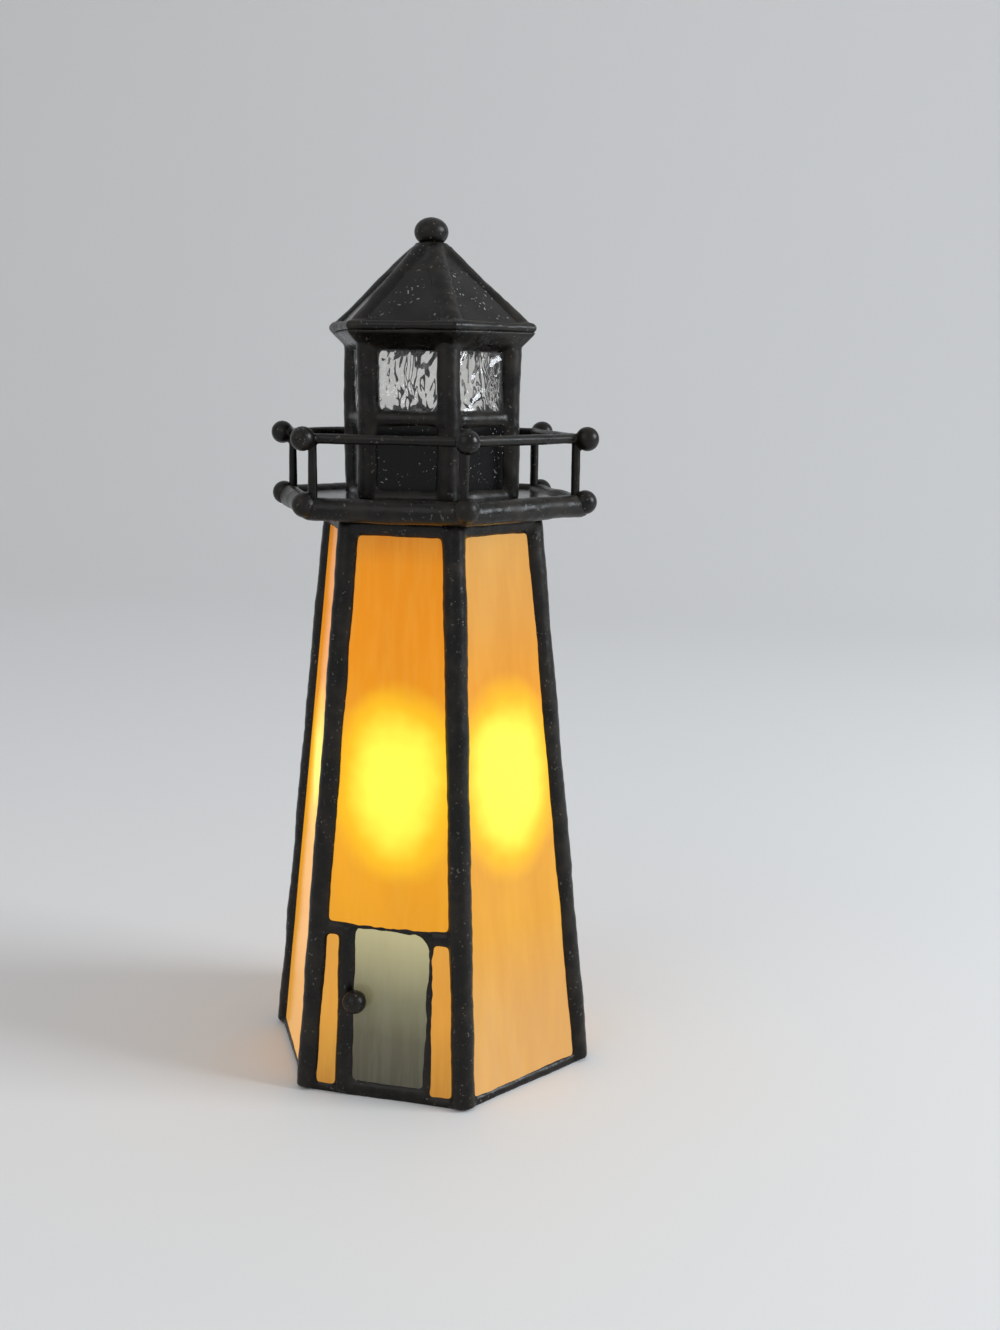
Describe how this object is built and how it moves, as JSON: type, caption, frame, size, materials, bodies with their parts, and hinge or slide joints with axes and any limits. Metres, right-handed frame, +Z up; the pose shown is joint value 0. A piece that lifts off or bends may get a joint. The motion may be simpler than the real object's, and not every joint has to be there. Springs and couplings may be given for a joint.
{
  "type": "stained-glass lighthouse accent lamp",
  "caption": "Six-sided copper-foil stained-glass lighthouse lamp with a door, railed gallery, lantern room, pointed roof, clip-in lampholder and screw-in candelabra bulb.",
  "frame": {"origin": "centre of the hexagonal foot, on the surface the lamp stands on", "axes": "+Z up along the tower's axis; the side with the door faces -Y; +X passes through a corner of the hexagon"},
  "size_m": [0.094, 0.0838, 0.229],
  "materials": {
    "amber_glass": "streaky amber opalescent sheet glass, lit from inside",
    "opal_door_glass": "grey-white opalescent sheet glass, lit from inside",
    "black_patina_solder": "lead-tin solder with black patina, satin, slightly lumpy",
    "black_metal": "brass wire and balls with black patina, satin",
    "black_glass": "opaque black sheet glass, fire-polished",
    "clear_ripple_glass": "clear rippled sheet glass",
    "tinned_strap": "tinned sheet, dull",
    "black_phenolic": "moulded phenolic, matt",
    "spring_steel": "spring steel, bright",
    "socket_brass": "plain brass",
    "bulb_glass": "clear thin glass",
    "filament_wire": "tungsten filament on wire leads, glowing"
  },
  "bodies": {
    "lighthouse": {"panel_front": "amber_glass", "panel_front_right": "amber_glass", "panel_back_right": "amber_glass", "panel_rear": "amber_glass", "panel_back_left": "amber_glass", "panel_front_left": "amber_glass", "door_strip_left": "amber_glass", "door_strip_right": "amber_glass", "door_pane": "opal_door_glass", "tower_corner_seams": "black_patina_solder", "lintel_seam": "black_patina_solder", "jamb_seam_left": "black_patina_solder", "jamb_seam_right": "black_patina_solder", "base_seam": "black_patina_solder", "tower_top_seam": "black_patina_solder", "deck_rim": "black_patina_solder", "lantern_corner_seams": "black_patina_solder", "sill_seams": "black_patina_solder", "lantern_foot_seam": "black_patina_solder", "lantern_head_seam": "black_patina_solder", "eave_cove": "black_patina_solder", "eave_seam": "black_patina_solder", "roof_ridge_seams": "black_patina_solder", "roof_cap": "black_patina_solder", "strap_solder_tacks": "black_patina_solder", "rail_posts": "black_metal", "hand_rails": "black_metal", "rail_balls": "black_metal", "foot_balls": "black_metal", "door_knob": "black_metal", "finial_ball": "black_metal", "deck_plate": "black_glass", "lantern_wall_front": "black_glass", "lantern_wall_front_right": "black_glass", "lantern_wall_back_right": "black_glass", "lantern_wall_rear": "black_glass", "lantern_wall_back_left": "black_glass", "lantern_wall_front_left": "black_glass", "roof_panel_front": "black_glass", "roof_panel_front_right": "black_glass", "roof_panel_back_right": "black_glass", "roof_panel_rear": "black_glass", "roof_panel_back_left": "black_glass", "roof_panel_front_left": "black_glass", "window_pane_front": "clear_ripple_glass", "window_pane_front_right": "clear_ripple_glass", "window_pane_back_right": "clear_ripple_glass", "window_pane_rear": "clear_ripple_glass", "window_pane_back_left": "clear_ripple_glass", "window_pane_front_left": "clear_ripple_glass", "lamp_strap": "tinned_strap"},
    "lampholder": {"lampholder_body": "black_phenolic", "lampholder_clips": "spring_steel", "lampholder_shell": "socket_brass", "lampholder_contact": "socket_brass"},
    "bulb_foot": {"bulb_tip": "socket_brass", "bulb_insulator": "black_phenolic"},
    "bulb": {"bulb_cap": "socket_brass", "bulb_glass": "bulb_glass", "bulb_filament": "filament_wire"}
  },
  "joints": [
    {"name": "lampholder_slide", "type": "slide", "parent": "lighthouse", "child": "lampholder", "axis": [0, 0, 1], "range_m": [-0.1, 0]},
    {"name": "bulb_lift", "type": "slide", "parent": "lampholder", "child": "bulb_foot", "axis": [0, 0, 1], "range_m": [0, 0.01016]},
    {"name": "bulb_turn", "type": "hinge", "parent": "bulb_foot", "child": "bulb", "pos_m": [0, 0, 0.06], "axis": [0, 0, 1], "range_deg": [0, 1440]}
  ],
  "couplings": [
    {"joint": "bulb_turn", "follows": "bulb_lift", "rad_per_m": 2473.7}
  ]
}
